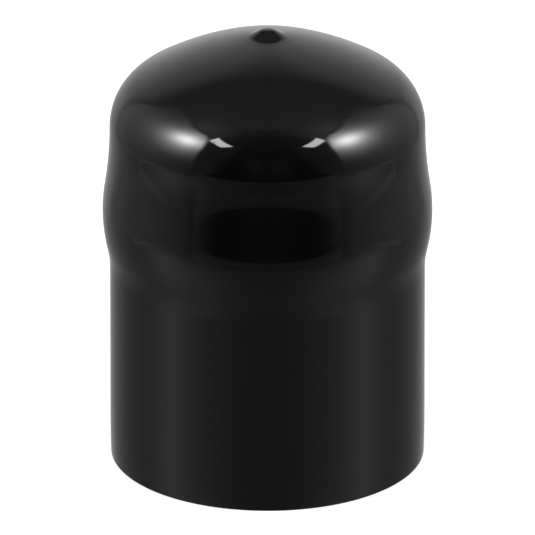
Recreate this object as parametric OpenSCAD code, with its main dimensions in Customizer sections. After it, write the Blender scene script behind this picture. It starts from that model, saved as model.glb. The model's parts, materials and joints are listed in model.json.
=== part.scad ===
// Soft push-on cover for a tow ball: one wall turned round the vertical axis.
// Millimetres, +Z up. The origin is on the axis, in the plane of the rim.
// The wall's outline is a chain of arcs, each tangent to the next.

/* [Ball] */
// Diameter of the ball that the bulge closes round
ball_d = 50.8; // [40:0.1:60]
// Height of the ball's centre above the rim
ball_z = 43.5; // [34:0.5:60]
// How much nearer to the axis the skirt lies than the bulge
grip = 1.2; // [0.5:0.1:2.5]

/* [Wall] */
// Thickness of the wall
wall = 2; // [1.2:0.1:3]
// How much thinner the wall is at the rim, on its outer side
rim_draw = 0.1; // [0.05:0.05:0.6]
// Height over which the wall thins towards the rim
rim_draw_h = 7.5; // [3:0.5:15]
// Radius of the rim's two edges
rim_edge = 0.25; // [0.1:0.05:0.45]
// Radius of the hollow between the skirt and the bulge
skirt_fillet = 16.7; // [8:0.1:30]

/* [Crown] */
// Gap between the top of the ball and the inside of the crown
top_gap = 3.35; // [1:0.05:8]
// Radius of the shoulder where the side turns into the crown
shoulder_r = 9.7; // [6:0.1:13]
// Radius of the crown's flank
flank_r = 67; // [55:0.5:90]
// How far past the axis the centre of the flank lies, which makes the crown slightly pointed
flank_past = 13; // [8:0.1:16]
// Radius of the dome that blunts the point inside the crown
dome_r = 24; // [16:0.1:30]

/* [Nub] */
// Height of the nub's tip above the point where the flanks would meet
nub_h = 0.7; // [0.6:0.1:1.6]
// Slope of the nub's side, in degrees
nub_slope = 30.5; // [26:0.5:36]
// Radius of the nub's round tip
nub_r = 2.4; // [0.8:0.1:2.8]
// Radius of the hollow round the nub's foot
nub_fillet = 3.6; // [1:0.1:4.2]

/* [Hidden] */

// Farthest that a flat of the outline strays from its arc
stray = 0.006;

// Radii of the outer side, and of the straight bore inside the skirt
ball_r = ball_d / 2;
bulge_r = ball_r + wall;
skirt_r = bulge_r - grip;
bore_r = skirt_r - wall;

// Centres of the arcs, as [distance from the axis, height]
dome_c = [0, ball_z + ball_r + top_gap - dome_r];
flank_c = [-flank_past, dome_c.y - leg(flank_r - wall - dome_r, flank_past)];
shoulder_x = skirt_r - shoulder_r;
shoulder_c = [shoulder_x, flank_c.y + leg(flank_r - shoulder_r, shoulder_x + flank_past)];
ball_c = [0, ball_z];
skirt_fillet_c = [skirt_r + skirt_fillet, ball_z - leg(bulge_r + skirt_fillet, skirt_r + skirt_fillet)];

// The hollow above the bulge ends where the shoulder starts
neck_rise = shoulder_c.y - ball_z;
neck_fillet = (neck_rise ^ 2 - bulge_r ^ 2 + skirt_r ^ 2) / (2 * grip);
neck_fillet_c = [skirt_r + neck_fillet, shoulder_c.y];

// The nub's tip, and the hollow round its foot, which touches the nub's straight side and the flank
tip_c = [0, flank_c.y + leg(flank_r, flank_past) + nub_h - nub_r];
nub_out = turned(90 - nub_slope);
nub_down = turned(-nub_slope);
foot_from = tip_c + (nub_r + nub_fillet) * nub_out - flank_c;
foot_drop = foot_from * nub_down;
foot_run = -foot_drop - sqrt(foot_drop ^ 2 - foot_from * foot_from + (flank_r + nub_fillet) ^ 2);
foot_c = flank_c + foot_from + foot_run * nub_down;

// The long arc of the skirt's outer side, where the wall thins towards the rim
draw_rise = rim_draw_h - rim_edge;
draw_r = (draw_rise ^ 2 + rim_draw ^ 2) / (2 * rim_draw);
draw_c = [skirt_r - draw_r, rim_draw_h];

// Directions at which one arc hands over to the next
below_ball = heading(ball_c, skirt_fillet_c);
above_ball = heading(ball_c, neck_fillet_c);
shoulder_end = heading(flank_c, shoulder_c);
nub_foot = heading(flank_c, foot_c);
dome_start = heading(flank_c, dome_c);

// The other side of a right triangle
function leg(long, short) = sqrt(long ^ 2 - short ^ 2);

// Direction from one centre to another, in degrees above level
function heading(from, to) = atan2(to.y - from.y, to.x - from.x);

// Points round an arc, both ends included
function arc(centre, radius, from, to) =
    let (flats = max(2, ceil(abs(to - from) / (2 * acos(1 - stray / radius)))))
    [for (i = [0:flats]) centre + radius * turned(from + (to - from) * i / flats)];

// A step of 1 in one direction
function turned(angle) = [cos(angle), sin(angle)];

// The wall's side from the top of the skirt up the flank to one direction, this far inside the outer one
function side(inset, flank_end) = concat(
    arc(skirt_fillet_c, skirt_fillet + inset, 180, below_ball + 180),
    arc(ball_c, bulge_r - inset, below_ball, above_ball),
    arc(neck_fillet_c, neck_fillet + inset, above_ball + 180, 180),
    arc(shoulder_c, shoulder_r - inset, 0, shoulder_end),
    arc(flank_c, flank_r - inset, shoulder_end, flank_end)
);

// The outer side at the rim
rim_out = concat(
    arc([skirt_r - rim_draw - rim_edge, rim_edge], rim_edge, -90, 0),
    arc(draw_c, draw_r, -asin(draw_rise / draw_r), 0)
);

// The inner side at the rim, from the bore down
rim_in = arc([bore_r + rim_edge, rim_edge], rim_edge, 180, 270);

// The nub on the crown's outer side
nub = concat(
    arc(foot_c, nub_fillet, nub_foot + 180, 270 - nub_slope),
    arc(tip_c, nub_r, 90 - nub_slope, 90)
);

// The dome on the crown's inner side
dome = arc(dome_c, dome_r, dome_start, 90);

// A list of points in the opposite order
function reversed(points) = [for (i = [len(points) - 1:-1:0]) points[i]];

// The points without those where one arc repeats the end of the last
function joined(points) = [
    for (i = [0:len(points) - 1])
        if (i == 0 || norm(points[i] - points[i - 1]) > stray) points[i]
];

// The whole outline of the wall, up its outer side and down its inner one
outline = joined(concat(rim_out, side(0, nub_foot), nub, reversed(dome), reversed(side(wall, dome_start)), rim_in));

module cover() {
    color([0.03, 0.03, 0.032])
        rotate_extrude($fn = 160)
            polygon(outline);
}

cover();
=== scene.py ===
import json
import math
import bmesh
import bpy
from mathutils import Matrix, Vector


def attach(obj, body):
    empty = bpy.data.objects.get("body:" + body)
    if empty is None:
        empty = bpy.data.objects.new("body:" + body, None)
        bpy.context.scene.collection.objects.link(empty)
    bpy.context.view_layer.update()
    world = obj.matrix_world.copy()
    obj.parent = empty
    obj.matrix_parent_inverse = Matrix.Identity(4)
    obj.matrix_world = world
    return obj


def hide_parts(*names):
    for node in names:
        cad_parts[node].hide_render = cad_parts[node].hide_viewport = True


# A soft vinyl tow ball cover, pushed on over the ball: one glossy black skin, open below
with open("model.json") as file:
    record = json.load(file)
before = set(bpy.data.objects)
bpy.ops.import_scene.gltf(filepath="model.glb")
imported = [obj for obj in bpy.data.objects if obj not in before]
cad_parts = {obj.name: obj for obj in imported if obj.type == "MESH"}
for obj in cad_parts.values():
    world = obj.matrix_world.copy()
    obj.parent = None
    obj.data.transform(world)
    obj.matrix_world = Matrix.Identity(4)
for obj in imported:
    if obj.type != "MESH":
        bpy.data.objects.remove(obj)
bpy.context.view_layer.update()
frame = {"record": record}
millimetre = 0.001
mounts = {mount["name"]: mount for mount in frame["record"]["mounts"]}


def addMaths(tree, operation, *values):  # a Math node; each value is a number or another node's output
    node = tree.nodes.new("ShaderNodeMath")
    node.operation = operation
    for slot, value in zip(node.inputs, values):
        if isinstance(value, (int, float)):
            slot.default_value = value
        else:
            tree.links.new(value, slot)
    return node.outputs[0]


# a smooth step from start to end while the value goes from low to high
def addEase(tree, value, low, high, start=0.0, end=1.0):
    node = tree.nodes.new("ShaderNodeMapRange")
    node.interpolation_type = "SMOOTHSTEP"
    tree.links.new(value, node.inputs["Value"])
    for name, number in (("From Min", low), ("From Max", high), ("To Min", start), ("To Max", end)):
        if isinstance(number, (int, float)):
            node.inputs[name].default_value = number
        else:
            tree.links.new(number, node.inputs[name])
    return node.outputs["Result"]


def newGroup(name, inputs, outputs):  # a shader node group with named inputs and outputs
    group = bpy.data.node_groups.new(name, "ShaderNodeTree")
    for title, kind, value in inputs:
        socket = group.interface.new_socket(name=title, in_out="INPUT", socket_type=kind)
        socket.default_value = value
    for title, kind in outputs:
        group.interface.new_socket(name=title, in_out="OUTPUT", socket_type=kind)
    return group, group.nodes.new("NodeGroupInput"), group.nodes.new("NodeGroupOutput")


def placeGroup(tree, group, **values):  # Half_Width sets the group's input named Half Width
    node = tree.nodes.new("ShaderNodeGroup")
    node.node_tree = group
    for name, value in values.items():
        slot = node.inputs[name.replace("_", " ")]
        if isinstance(value, (int, float)):
            slot.default_value = value
        else:
            tree.links.new(value, slot)
    return node


coverShape = {  # millimetres; the ball's size and place come from the record
    "wall": 2.0,
    "grip": 1.2,  # how much nearer to the axis the skirt lies than the bulge
    "rimDraw": 0.1,  # how much thinner the wall is at the rim
    "rimDrawHeight": 7.5,
    "rimEdge": 0.25,
    "skirtFillet": 16.7,
    "topGap": 3.35,  # between the ball and the inside of the crown
    "shoulder": 9.7,
    "flank": 67.0,
    "flankPast": 13.0,  # how far past the axis the flank's centre lies
    "dome": 24.0,  # blunts the point inside the crown
    "nubHeight": 0.7,  # above the point where the flanks would meet
    "nubSlope": 30.5,  # degrees
    "nubTip": 2.4,
    "nubFillet": 3.6,
    "around": 240,  # faces round the axis
    "chord": 0.0025,  # farthest that an edge strays from its arc
    "weld": 0.002,  # points nearer than this are made one
    "sliver": 0.0001,  # edges shorter than this are taken out
}


def leg(hypotenuse, side):  # the other side of a right triangle
    return math.sqrt(hypotenuse**2 - side**2)


def heading(start, end):  # direction from one centre to another
    return math.atan2(end[1] - start[1], end[0] - start[0])


def alongArc(centre, radius, angle):
    return (centre[0] + radius * math.cos(angle), centre[1] + radius * math.sin(angle))


# the outer side, the rim's cut and the inner side, each a run of arcs as (centre, radius, start, end)
def coverOutlines(shape):
    ballRadius = mounts["ball_socket"]["dims"]["r_mm"]
    ballCentre = (0.0, mounts["ball_socket"]["pos_m"][2] / millimetre)
    wall = shape["wall"]
    bulge = ballRadius + wall
    skirt = bulge - shape["grip"]
    bore = skirt - wall
    domeCentre = (0.0, ballCentre[1] + ballRadius + shape["topGap"] - shape["dome"])
    flankDrop = leg(shape["flank"] - wall - shape["dome"], shape["flankPast"])
    flankCentre = (-shape["flankPast"], domeCentre[1] - flankDrop)
    shoulderX = skirt - shape["shoulder"]
    shoulderRise = leg(shape["flank"] - shape["shoulder"], shoulderX + shape["flankPast"])
    shoulderCentre = (shoulderX, flankCentre[1] + shoulderRise)
    skirtFillet = shape["skirtFillet"]
    skirtFilletDrop = leg(bulge + skirtFillet, skirt + skirtFillet)
    skirtFilletCentre = (skirt + skirtFillet, ballCentre[1] - skirtFilletDrop)
    neckRise = shoulderCentre[1] - ballCentre[1]
    neckFillet = (neckRise**2 - bulge**2 + skirt**2) / (2 * shape["grip"])
    neckFilletCentre = (skirt + neckFillet, shoulderCentre[1])
    low = heading(ballCentre, skirtFilletCentre)
    high = heading(ballCentre, neckFilletCentre)
    shoulderEnd = heading(flankCentre, shoulderCentre)
    domeStart = heading(flankCentre, domeCentre)
    upright = math.pi / 2

    def side(inset, flankEnd):  # from the top of the skirt up the flank to one direction
        return [
            (skirtFilletCentre, skirtFillet + inset, math.pi, low + math.pi),
            (ballCentre, bulge - inset, low, high),
            (neckFilletCentre, neckFillet + inset, high + math.pi, math.pi),
            (shoulderCentre, shape["shoulder"] - inset, 0.0, shoulderEnd),
            (flankCentre, shape["flank"] - inset, shoulderEnd, flankEnd),
        ]

    # the nub's straight side runs down from its round tip into the hollow at its foot
    slope = math.radians(shape["nubSlope"])
    tipHeight = flankCentre[1] + leg(shape["flank"], shape["flankPast"]) + shape["nubHeight"]
    tipCentre = Vector((0.0, tipHeight - shape["nubTip"]))
    nubDown = Vector((math.cos(slope), -math.sin(slope)))
    fromFlank = tipCentre - Vector(flankCentre)
    fromFlank += (shape["nubTip"] + shape["nubFillet"]) * Vector((math.sin(slope), math.cos(slope)))
    footDrop = fromFlank.dot(nubDown)
    footReach = shape["flank"] + shape["nubFillet"]
    footRun = -footDrop - math.sqrt(footDrop**2 - fromFlank.length_squared + footReach**2)
    footCentre = Vector(flankCentre) + fromFlank + footRun * nubDown
    nubFoot = heading(flankCentre, footCentre)
    edge = shape["rimEdge"]
    drawRise = shape["rimDrawHeight"] - edge
    drawRadius = (drawRise**2 + shape["rimDraw"] ** 2) / (2 * shape["rimDraw"])
    rimOuter = skirt - shape["rimDraw"]
    drawCentre = (skirt - drawRadius, shape["rimDrawHeight"])
    outer = [(drawCentre, drawRadius, -math.asin(drawRise / drawRadius), 0.0)] + side(0.0, nubFoot)
    outer.append((footCentre, shape["nubFillet"], nubFoot + math.pi, 3 * upright - slope))
    outer.append((tipCentre, shape["nubTip"], upright - slope, upright))
    edgeIn = (bore + edge, edge)
    edgeOut = (rimOuter - edge, edge)
    cut = [(edgeIn, edge, math.pi, 3 * upright), (edgeOut, edge, -upright, 0.0)]
    inner = [(edgeIn, edge, math.pi, math.pi)] + side(wall, domeStart)
    inner.append((domeCentre, shape["dome"], domeStart, upright))
    return outer, cut, inner


def drawOutline(bm, arcs, shape):  # grows one run of the wall's outline in the plane of X and Z
    farApart = 2 * shape["weld"] * millimetre
    tip = None
    for centre, radius, start, end in arcs:
        x, z = alongArc(centre, radius, start)
        begin = Vector((x, 0.0, z)) * millimetre
        if tip is None:
            tip = bm.verts.new(begin)
        elif (tip.co - begin).length > farApart:  # a straight stretch lies between two arcs
            tip = bmesh.ops.extrude_vert_indiv(bm, verts=[tip])["verts"][0]
            tip.co = begin
        if start == end:
            continue
        widestStep = 2 * math.acos(1 - shape["chord"] / radius)
        steps = max(3, math.ceil(abs(end - start) / widestStep))
        hub = Vector((centre[0], 0.0, centre[1])) * millimetre
        swept = bmesh.ops.spin(
            bm, geom=[tip], cent=hub, axis=(0, 1, 0), angle=start - end, steps=steps,
            use_merge=False, use_duplicate=False,
        )
        tip = next(item for item in swept["geom_last"] if isinstance(item, bmesh.types.BMVert))


def turnOutline(bm, arcs, slot, shape):  # one run of the outline, turned right round the axis
    before = set(bm.verts), set(bm.edges), set(bm.faces)
    drawOutline(bm, arcs, shape)
    outline = [vert for vert in bm.verts if vert not in before[0]]
    outline += [edge for edge in bm.edges if edge not in before[1]]
    bmesh.ops.spin(
        bm, geom=outline, cent=(0, 0, 0), axis=(0, 0, 1), angle=math.tau, steps=shape["around"],
        use_merge=True, use_duplicate=False,
    )
    for face in set(bm.faces) - before[2]:
        face.material_index = slot


def buildCover(shape):
    bm = bmesh.new()
    for slot, arcs in enumerate(coverOutlines(shape)):
        turnOutline(bm, arcs, slot, shape)
    bmesh.ops.remove_doubles(bm, verts=bm.verts, dist=shape["weld"] * millimetre)
    bmesh.ops.dissolve_degenerate(bm, edges=bm.edges, dist=shape["sliver"] * millimetre)
    bmesh.ops.recalc_face_normals(bm, faces=bm.faces)
    for face in bm.faces:
        face.smooth = True
    mesh = bpy.data.meshes.new("coverSkin")
    bm.to_mesh(mesh)
    bm.free()
    piece = bpy.data.objects.new("coverSkin", mesh)
    bpy.context.scene.collection.objects.link(piece)
    return piece


rippleHeight = 0.1 * millimetre  # what a depth of 1 raises the surface by


def makeRippleGroup():  # the slow waves and fine grain that set vinyl keeps
    inputs = [
        ("Wave Size", "NodeSocketFloat", 120.0),
        ("Wave Depth", "NodeSocketFloat", 0.2),
        ("Grain Size", "NodeSocketFloat", 2500.0),
        ("Grain Depth", "NodeSocketFloat", 0.02),
    ]
    group, source, sink = newGroup("vinylRipple", inputs, [("Normal", "NodeSocketVector")])
    place = group.nodes.new("ShaderNodeTexCoord")
    waves = group.nodes.new("ShaderNodeTexNoise")
    waves.inputs["Detail"].default_value = 1.0
    grain = group.nodes.new("ShaderNodeTexNoise")
    grain.inputs["Detail"].default_value = 2.0
    for texture, size in ((waves, "Wave Size"), (grain, "Grain Size")):
        group.links.new(place.outputs["Object"], texture.inputs["Vector"])
        group.links.new(source.outputs[size], texture.inputs["Scale"])
    waveHeight = addMaths(group, "MULTIPLY", waves.outputs["Fac"], source.outputs["Wave Depth"])
    grainHeight = addMaths(group, "MULTIPLY", grain.outputs["Fac"], source.outputs["Grain Depth"])
    bump = group.nodes.new("ShaderNodeBump")
    bump.inputs["Distance"].default_value = rippleHeight
    group.links.new(addMaths(group, "ADD", waveHeight, grainHeight), bump.inputs["Height"])
    group.links.new(bump.outputs["Normal"], sink.inputs["Normal"])
    return group


smearStart, smearFull = 0.42, 0.72  # noise at which a smear starts, and at which it is full
speckFull, speckEnd = 0.12, 0.26  # share of its cell that a speck fills, and where it has faded


def makeHandlingGroup():  # faint smears and a few specks of dust
    inputs = [
        ("Smear Size", "NodeSocketFloat", 60.0),
        ("Speck Size", "NodeSocketFloat", 900.0),
        ("Speck Amount", "NodeSocketFloat", 0.02),
    ]
    outputs = [("Smear", "NodeSocketFloat"), ("Speck", "NodeSocketFloat")]
    group, source, sink = newGroup("handlingMarks", inputs, outputs)
    place = group.nodes.new("ShaderNodeTexCoord")
    smear = group.nodes.new("ShaderNodeTexNoise")
    smear.inputs["Detail"].default_value = 5.0
    smear.inputs["Roughness"].default_value = 0.6
    smear.inputs["Distortion"].default_value = 0.8
    group.links.new(place.outputs["Object"], smear.inputs["Vector"])
    group.links.new(source.outputs["Smear Size"], smear.inputs["Scale"])
    group.links.new(addEase(group, smear.outputs["Fac"], smearStart, smearFull), sink.inputs["Smear"])
    cells = group.nodes.new("ShaderNodeTexVoronoi")
    group.links.new(place.outputs["Object"], cells.inputs["Vector"])
    group.links.new(source.outputs["Speck Size"], cells.inputs["Scale"])
    chosen = group.nodes.new("ShaderNodeSeparateColor")
    group.links.new(cells.outputs["Color"], chosen.inputs["Color"])
    picked = addMaths(group, "LESS_THAN", chosen.outputs["Red"], source.outputs["Speck Amount"])
    dot = addEase(group, cells.outputs["Distance"], speckFull, speckEnd, 1.0, 0.0)
    group.links.new(addMaths(group, "MULTIPLY", picked, dot), sink.inputs["Speck"])
    return group


vinyl = {"refraction": 1.54, "smearTint": 0.25, "speckRoughness": 0.3}  # the same in every finish
finishes = {
    "glossyVinyl": {  # the dipped outer side
        "colour": (0.0008, 0.0008, 0.0009, 1.0),
        "dusty": (0.0030, 0.0030, 0.0031, 1.0),
        "roughness": (0.03, 0.055),
        "ripple": {"Wave_Size": 90.0, "Wave_Depth": 0.03, "Grain_Size": 2600.0, "Grain_Depth": 0.002},
        "marks": {"Smear_Size": 55.0, "Speck_Size": 800.0, "Speck_Amount": 0.004},
    },
    "cutVinyl": {  # the rim, trimmed off square
        "colour": (0.005, 0.005, 0.0052, 1.0),
        "dusty": (0.018, 0.018, 0.018, 1.0),
        "roughness": (0.42, 0.6),
        "ripple": {"Wave_Size": 700.0, "Wave_Depth": 0.4, "Grain_Size": 6000.0, "Grain_Depth": 0.25},
        "marks": {"Smear_Size": 200.0, "Speck_Size": 1200.0, "Speck_Amount": 0.03},
    },
    "mouldedVinyl": {  # the inner side, which takes the satin of the mould
        "colour": (0.020, 0.020, 0.0206, 1.0),
        "dusty": (0.055, 0.055, 0.054, 1.0),
        "roughness": (0.30, 0.44),
        "ripple": {"Wave_Size": 60.0, "Wave_Depth": 0.12, "Grain_Size": 3500.0, "Grain_Depth": 0.10},
        "marks": {"Smear_Size": 40.0, "Speck_Size": 900.0, "Speck_Amount": 0.03},
    },
}


def makeVinyl(name, finish, rippleGroup, marksGroup):
    material = bpy.data.materials.new(name)
    material.use_nodes = True
    tree = material.node_tree
    shader = tree.nodes["Principled BSDF"]
    ripple = placeGroup(tree, rippleGroup, **finish["ripple"])
    marks = placeGroup(tree, marksGroup, **finish["marks"])
    tint = tree.nodes.new("ShaderNodeMix")
    tint.data_type = "RGBA"
    tint.inputs["A"].default_value = finish["colour"]
    tint.inputs["B"].default_value = finish["dusty"]
    lightened = addMaths(tree, "MULTIPLY", marks.outputs["Smear"], vinyl["smearTint"])
    tree.links.new(addMaths(tree, "MAXIMUM", lightened, marks.outputs["Speck"]), tint.inputs["Factor"])
    tree.links.new(tint.outputs["Result"], shader.inputs["Base Color"])
    low, high = finish["roughness"]
    smeared = addEase(tree, marks.outputs["Smear"], 0.0, 1.0, low, high)
    speckled = addMaths(tree, "MULTIPLY", marks.outputs["Speck"], vinyl["speckRoughness"])
    tree.links.new(addMaths(tree, "ADD", smeared, speckled), shader.inputs["Roughness"])
    tree.links.new(ripple.outputs["Normal"], shader.inputs["Normal"])
    shader.inputs["IOR"].default_value = vinyl["refraction"]
    return material


# the room that the gloss mirrors, in degrees: azimuth 0 is behind the cover and 180 at the camera,
# the same on both sides
studioLight = {
    "strength": 1.0,
    "panels": {  # azimuth, elevation, half width, half height, corner, softness of the edge, turn
        "backdrop": (0.0, 0.0, 37.2, 65.0, 32.0, 4.0, 0.0),
        "sideWall": (84.4, 18.2, 42.0, 38.5, 19.0, 2.4, 1.0),
        "sideWallFront": (63.1, 0.0, 63.2, 60.1, 32.0, 2.6, -2.0),
        "stripLamp": (131.8, 51.1, 15.0, 4.1, 1.5, 1.0, 20.8),
        "stripFoot": (126.2, 61.3, 30.0, 20.0, 1.0, 1.0, -29.6),
        "stripSide": (141.0, 55.0, 20.2, 20.0, 1.0, 1.0, 0.0),
        "overHorizon": (90.0, 60.0, 130.0, 79.4, 3.0, 3.8, 0.0),
        "openFront": (180.0, 29.0, 46.8, 48.1, 12.0, 12.0, -5.8),
        "sideCeiling": (108.0, 79.0, 54.9, 20.5, 2.1, 1.8, 2.3),
        "cameraBlock": (187.5, 13.0, 40.0, 30.7, 5.4, 5.4, 14.9),
        "frontWall": (180.0, 15.6, 53.2, 35.2, 5.2, 1.6, 0.0),
        "tableEdge": (88.4, -18.3, 15.9, 0.8, 0.3, 0.7, -10.0),
        "frontPost": (143.4, 19.9, 8.0, 40.2, 9.1, 1.7, -2.1),
        "ground": (90.0, -62.0, 150.0, 42.5, 2.0, 3.8, 0.9),
    },
    "ovals": {  # azimuth, elevation, half width, half height, softness of the edge
        "cameraOval": (180.0, -9.7, 48.3, 6.6, 0.06),
    },
    "glows": {  # azimuth, elevation, spread across, spread up
        "backdropCrease": (41.0, 4.0, 11.0, 18.8),
        "backdropCore": (0.0, 28.3, 15.6, 12.7),
        "backdropFoot": (0.0, -1.9, 26.0, 16.0),
        "backdropHead": (0.0, 51.2, 19.6, 17.2),
        "hotSpot": (107.0, 39.4, 9.6, 6.1),
        "hotSpotWide": (105.3, 37.5, 14.4, 12.3),
        "hotSpotSpill": (119.0, 50.0, 3.0, 4.5),
        "wallMiddle": (83.6, 32.0, 23.1, 22.5),
        "wallFoot": (80.0, 18.2, 27.9, 54.7),
        "overWall": (85.8, 62.0, 25.2, 9.0),
        "ceilingMiddle": (30.3, 84.3, 38.6, 13.0),
        "headGlow": (159.0, 34.0, 7.3, 12.9),
        "chestGlow": (172.3, 13.2, 6.2, 15.2),
        "frontCeiling": (145.4, 58.5, 34.0, 20.0),
        "groundBehind": (0.0, -8.0, 23.4, 25.0),
        "groundBeside": (104.5, -24.0, 12.0, 13.3),
        "groundBefore": (180.0, -20.0, 25.0, 32.5),
        "groundCorner": (130.2, -34.7, 11.3, 8.7),
        "groundEdge": (115.0, -17.3, 15.0, 3.2),
    },
    "rises": {  # lowest and highest elevation of a gradual change
        "backdropFade": (43.8, 70.0),
        "frontRise": (-20.9, -8.0),
        "underfoot": (-72.0, -48.0),
    },
    "lamps": [  # brightness, then the shapes that bound it; a minus sign cuts that shape out
        (0.13, "ground"),
        (0.016, "overHorizon"),
        (0.101, "overHorizon", "-openFront"),
        (0.114, "overHorizon", "ceilingMiddle"),
        (0.099, "overWall", "sideCeiling"),
        (0.265, "overWall", "overHorizon"),
        (0.653, "backdrop", "overHorizon", "backdropCore", "-backdropFade"),
        (0.611, "backdrop", "overHorizon", "backdropFoot", "-backdropFade"),
        (0.718, "backdrop", "overHorizon", "backdropHead", "-backdropFade"),
        (11.8, "sideWall", "sideWallFront", "hotSpot"),
        (5.7, "sideWall", "sideWallFront", "hotSpotWide"),
        (0.666, "sideWall", "sideWallFront", "wallMiddle"),
        (0.109, "sideWall", "wallFoot"),
        (9.4, "stripLamp", "stripFoot", "stripSide"),
        (1.1, "hotSpotSpill"),
        (0.25, "backdropCrease", "overHorizon"),
        (0.044, "frontWall", "-cameraOval", "-cameraBlock"),
        (0.034, "frontWall", "-frontRise", "-cameraOval", "-cameraBlock"),
        (0.015, "frontPost", "-cameraOval"),
        (0.082, "tableEdge"),
        (0.025, "headGlow"),
        (0.054, "chestGlow"),
        (0.05, "frontCeiling", "-cameraBlock"),
        (0.087, "ground", "underfoot", "-groundBefore"),
        (0.013, "ground", "underfoot", "groundBefore"),
        (0.299, "ground", "underfoot", "groundBehind"),
        (0.254, "ground", "underfoot", "groundBeside"),
        (0.088, "ground", "underfoot", "groundCorner"),
        (0.07, "groundEdge"),
    ],
}


placeInputs = ["Azimuth", "Elevation", "Centre Azimuth", "Centre Elevation"]


def makePanelGroup():  # a lit panel with rounded corners, by direction in degrees
    names = placeInputs + ["Half Width", "Half Height", "Corner", "Edge", "Turn"]
    inputs = [(name, "NodeSocketFloat", 0.0) for name in names]
    group, source, sink = newGroup("studioPanel", inputs, [("Mask", "NodeSocketFloat")])
    pull = source.outputs
    offset = group.nodes.new("ShaderNodeCombineXYZ")
    across = addMaths(group, "SUBTRACT", pull["Azimuth"], pull["Centre Azimuth"])
    above = addMaths(group, "SUBTRACT", pull["Elevation"], pull["Centre Elevation"])
    group.links.new(across, offset.inputs["X"])
    group.links.new(above, offset.inputs["Y"])
    turned = group.nodes.new("ShaderNodeVectorRotate")
    turned.rotation_type = "Z_AXIS"
    group.links.new(offset.outputs["Vector"], turned.inputs["Vector"])
    group.links.new(addMaths(group, "RADIANS", pull["Turn"]), turned.inputs["Angle"])
    split = group.nodes.new("ShaderNodeSeparateXYZ")
    group.links.new(turned.outputs["Vector"], split.inputs["Vector"])
    past = []
    for axis, half in (("X", "Half Width"), ("Y", "Half Height")):
        reach = addMaths(group, "SUBTRACT", pull[half], pull["Corner"])
        past.append(addMaths(group, "SUBTRACT", addMaths(group, "ABSOLUTE", split.outputs[axis]), reach))
    outside = [addMaths(group, "MAXIMUM", p, 0.0) for p in past]
    squares = [addMaths(group, "MULTIPLY", p, p) for p in outside]
    corner = addMaths(group, "SQRT", addMaths(group, "ADD", *squares))
    inside = addMaths(group, "MINIMUM", addMaths(group, "MAXIMUM", *past), 0.0)
    distance = addMaths(group, "SUBTRACT", addMaths(group, "ADD", corner, inside), pull["Corner"])
    soft = addMaths(group, "MULTIPLY", pull["Edge"], -1.0)
    mask = addEase(group, distance, soft, pull["Edge"], 1.0, 0.0)
    group.links.new(mask, sink.inputs["Mask"])
    return group


def spreadSquares(group, pull, across, up):  # squared offsets from a centre, each over its own spread
    squares = []
    for angle, spread in (("Azimuth", across), ("Elevation", up)):
        offset = addMaths(group, "SUBTRACT", pull[angle], pull["Centre " + angle])
        share = addMaths(group, "DIVIDE", offset, pull[spread])
        squares.append(addMaths(group, "MULTIPLY", share, share))
    return addMaths(group, "ADD", *squares)


def makeOvalGroup():  # a lit oval; its edge is a share of its size
    names = placeInputs + ["Half Width", "Half Height", "Edge"]
    inputs = [(name, "NodeSocketFloat", 1.0) for name in names]
    group, source, sink = newGroup("studioOval", inputs, [("Mask", "NodeSocketFloat")])
    pull = source.outputs
    reach = addMaths(group, "SQRT", spreadSquares(group, pull, "Half Width", "Half Height"))
    inner = addMaths(group, "SUBTRACT", 1.0, pull["Edge"])
    outer = addMaths(group, "ADD", 1.0, pull["Edge"])
    group.links.new(addEase(group, reach, inner, outer, 1.0, 0.0), sink.inputs["Mask"])
    return group


def makeGlowGroup():  # a glow that fades with direction
    names = placeInputs + ["Spread Across", "Spread Up"]
    inputs = [(name, "NodeSocketFloat", 1.0) for name in names]
    group, source, sink = newGroup("studioGlow", inputs, [("Mask", "NodeSocketFloat")])
    squares = spreadSquares(group, source.outputs, "Spread Across", "Spread Up")
    power = addMaths(group, "MULTIPLY", squares, -0.5)
    group.links.new(addMaths(group, "EXPONENT", power), sink.inputs["Mask"])
    return group


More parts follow.
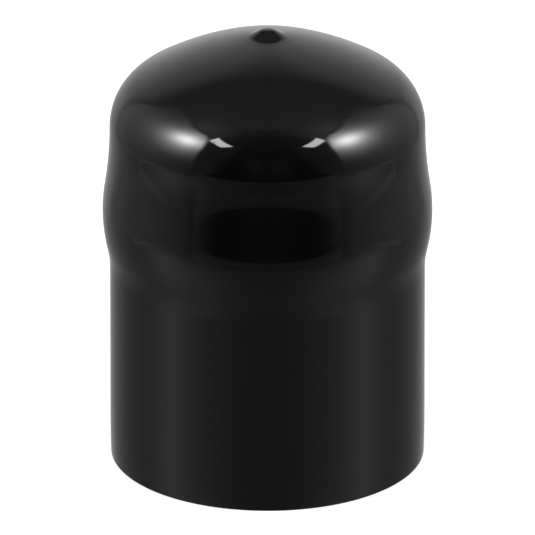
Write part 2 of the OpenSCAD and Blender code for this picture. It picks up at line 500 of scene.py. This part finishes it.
def buildWorld(light):
    world = bpy.data.worlds.new("studio")
    world.use_nodes = True
    bpy.context.scene.world = world
    tree = world.node_tree
    tree.nodes.clear()
    way = tree.nodes.new("ShaderNodeTexCoord")
    split = tree.nodes.new("ShaderNodeSeparateXYZ")
    tree.links.new(way.outputs["Generated"], split.inputs["Vector"])
    sideways = addMaths(tree, "ABSOLUTE", split.outputs["X"])
    azimuth = addMaths(tree, "DEGREES", addMaths(tree, "ARCTAN2", sideways, split.outputs["Y"]))
    elevation = addMaths(tree, "DEGREES", addMaths(tree, "ARCSINE", split.outputs["Z"]))
    kinds = {  # the group for each kind of shape, and the inputs that its numbers go to
        "panels": (makePanelGroup(), ["Half_Width", "Half_Height", "Corner", "Edge", "Turn"]),
        "ovals": (makeOvalGroup(), ["Half_Width", "Half_Height", "Edge"]),
        "glows": (makeGlowGroup(), ["Spread_Across", "Spread_Up"]),
    }
    masks = {name: addEase(tree, elevation, *span) for name, span in light["rises"].items()}
    for kind, (group, inputs) in kinds.items():
        for name, numbers in light[kind].items():
            values = dict(zip(["Centre_Azimuth", "Centre_Elevation"] + inputs, numbers))
            shape = placeGroup(tree, group, Azimuth=azimuth, Elevation=elevation, **values)
            masks[name] = shape.outputs["Mask"]
    brightness = 0.0
    for amount, *shapes in light["lamps"]:
        for name in shapes:
            mask = masks[name.lstrip("-")]
            if name.startswith("-"):
                mask = addMaths(tree, "SUBTRACT", 1.0, mask)
            amount = addMaths(tree, "MULTIPLY", mask, amount)
        brightness = addMaths(tree, "ADD", amount, brightness)
    studio = tree.nodes.new("ShaderNodeBackground")
    studio.inputs["Color"].default_value = (1.0, 1.0, 1.0, 1.0)
    tree.links.new(addMaths(tree, "MULTIPLY", brightness, light["strength"]), studio.inputs["Strength"])
    # what the camera sees past the floor is plain white, and so is what shows through anything clear
    white = tree.nodes.new("ShaderNodeBackground")
    white.inputs["Color"].default_value = (1.0, 1.0, 1.0, 1.0)
    white.inputs["Strength"].default_value = 1.0
    ray = tree.nodes.new("ShaderNodeLightPath")
    seen = addMaths(tree, "MAXIMUM", ray.outputs["Is Camera Ray"], ray.outputs["Is Transmission Ray"])
    choose = tree.nodes.new("ShaderNodeMixShader")
    tree.links.new(seen, choose.inputs["Fac"])
    tree.links.new(studio.outputs["Background"], choose.inputs[1])
    tree.links.new(white.outputs["Background"], choose.inputs[2])
    output = tree.nodes.new("ShaderNodeOutputWorld")
    tree.links.new(choose.outputs["Shader"], output.inputs["Surface"])


floorSettings = {
    "halfWidth": 3.0,  # metres
    "colour": (0.80, 0.80, 0.80, 1.0),  # what the floor throws back on the cover
    "lift": 0.75,  # how bright the camera sees the floor in full shadow
    "shade": 0.33,  # the colour that takes the shadow, added to that
}


def buildFloor(settings):
    bm = bmesh.new()
    bmesh.ops.create_grid(bm, x_segments=1, y_segments=1, size=settings["halfWidth"])
    mesh = bpy.data.meshes.new("floorSheet")
    bm.to_mesh(mesh)
    bm.free()
    floor = bpy.data.objects.new("floorSheet", mesh)
    bpy.context.scene.collection.objects.link(floor)
    material = bpy.data.materials.new("paleFloor")
    material.use_nodes = True
    tree = material.node_tree
    tree.nodes.clear()
    plain = tree.nodes.new("ShaderNodeBsdfDiffuse")
    plain.inputs["Color"].default_value = settings["colour"]
    lifted = tree.nodes.new("ShaderNodeAddShader")
    shade = tree.nodes.new("ShaderNodeBsdfDiffuse")
    shade.inputs["Color"].default_value = (settings["shade"],) * 3 + (1.0,)
    lift = tree.nodes.new("ShaderNodeEmission")
    lift.inputs["Strength"].default_value = settings["lift"]
    tree.links.new(shade.outputs["BSDF"], lifted.inputs[0])
    tree.links.new(lift.outputs["Emission"], lifted.inputs[1])
    ray = tree.nodes.new("ShaderNodeLightPath")
    choose = tree.nodes.new("ShaderNodeMixShader")
    tree.links.new(ray.outputs["Is Camera Ray"], choose.inputs["Fac"])
    tree.links.new(plain.outputs["BSDF"], choose.inputs[1])
    tree.links.new(lifted.outputs["Shader"], choose.inputs[2])
    clear = tree.nodes.new("ShaderNodeBsdfTransparent")
    side = tree.nodes.new("ShaderNodeNewGeometry")
    fromBelow = tree.nodes.new("ShaderNodeMixShader")
    tree.links.new(side.outputs["Backfacing"], fromBelow.inputs["Fac"])
    tree.links.new(choose.outputs["Shader"], fromBelow.inputs[1])
    tree.links.new(clear.outputs["BSDF"], fromBelow.inputs[2])
    output = tree.nodes.new("ShaderNodeOutputMaterial")
    tree.links.new(fromBelow.outputs["Shader"], output.inputs["Surface"])
    mesh.materials.append(material)
    # the floor throws soft light back and takes the cover's shadow
    # what the gloss shows below the horizon is the studio's own ground
    floor.visible_glossy = floor.visible_transmission = floor.visible_shadow = False


cameraSettings = {
    "elevation": 22.88,  # degrees that the camera looks down by
    "aimHeight": 32.87,  # millimetres above the rim
    "distance": 3327.0,  # millimetres from that point
    "frameWidth": 88.99,  # millimetres across the picture at that point
    "sensor": 36.0,  # millimetres
    "nearest": 0.1,  # metres
    "farthest": 20.0,  # metres
}


def buildCamera(settings):
    data = bpy.data.cameras.new("photoCamera")
    data.sensor_width = settings["sensor"]
    data.lens = settings["sensor"] * settings["distance"] / settings["frameWidth"]
    data.clip_start = settings["nearest"]
    data.clip_end = settings["farthest"]
    camera = bpy.data.objects.new("photoCamera", data)
    bpy.context.scene.collection.objects.link(camera)
    lean = math.radians(settings["elevation"])
    back = Vector((0.0, -math.cos(lean), math.sin(lean)))
    aim = Vector((0, 0, settings["aimHeight"] * millimetre))
    camera.location = aim + back * settings["distance"] * millimetre
    camera.rotation_euler = (-back).to_track_quat("-Z", "Y").to_euler()
    bpy.context.scene.camera = camera


print("building the cover")
cover = buildCover(coverShape)
rippleGroup = makeRippleGroup()
marksGroup = makeHandlingGroup()
for name, finish in finishes.items():
    cover.data.materials.append(makeVinyl(name, finish, rippleGroup, marksGroup))
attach(cover, "root")
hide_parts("cover")
print("cover:", len(cover.data.polygons), "faces")

print("building the studio")
buildWorld(studioLight)
buildFloor(floorSettings)
buildCamera(cameraSettings)
bpy.context.scene.view_settings.view_transform = "Standard"

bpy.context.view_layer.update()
